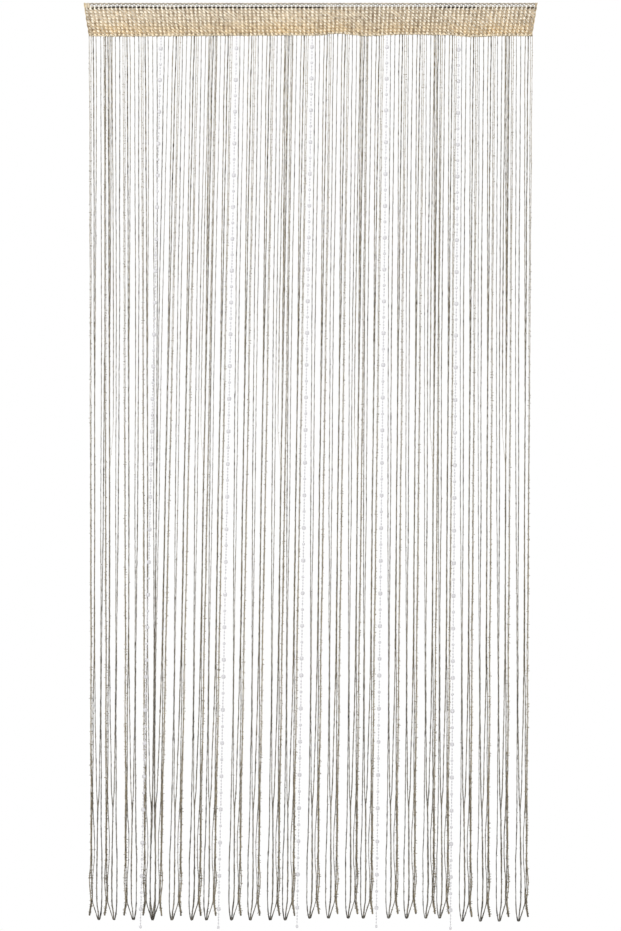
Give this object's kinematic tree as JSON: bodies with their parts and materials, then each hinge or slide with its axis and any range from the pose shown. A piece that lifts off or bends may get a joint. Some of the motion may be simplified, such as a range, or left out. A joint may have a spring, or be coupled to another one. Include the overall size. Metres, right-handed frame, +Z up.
{
  "type": "string curtain",
  "caption": "Doorway string curtain: a knitted heading with a rod pocket, clusters of looped yarn strings and slim strings of clear beads hanging from it.",
  "frame": {"origin": "the middle of the heading's top edge, where the curtain hangs", "axes": "+Z up, +X to the right seen from the front, -Y faces the front"},
  "size_m": [0.994, 0.0161, 2.03],
  "materials": {
    "heading_knit": "open raschel knit in beige yarn",
    "string_yarn": "taupe chain-knitted yarn with small dark nubs",
    "bead": "clear moulded beads on a thin thread"
  },
  "bodies": {
    "root": {"heading": "heading_knit", "yarn_strings": "string_yarn", "bead_string_1": "bead", "bead_string_2": "bead", "bead_string_3": "bead", "bead_string_4": "bead", "bead_string_5": "bead"}
  },
  "joints": []
}
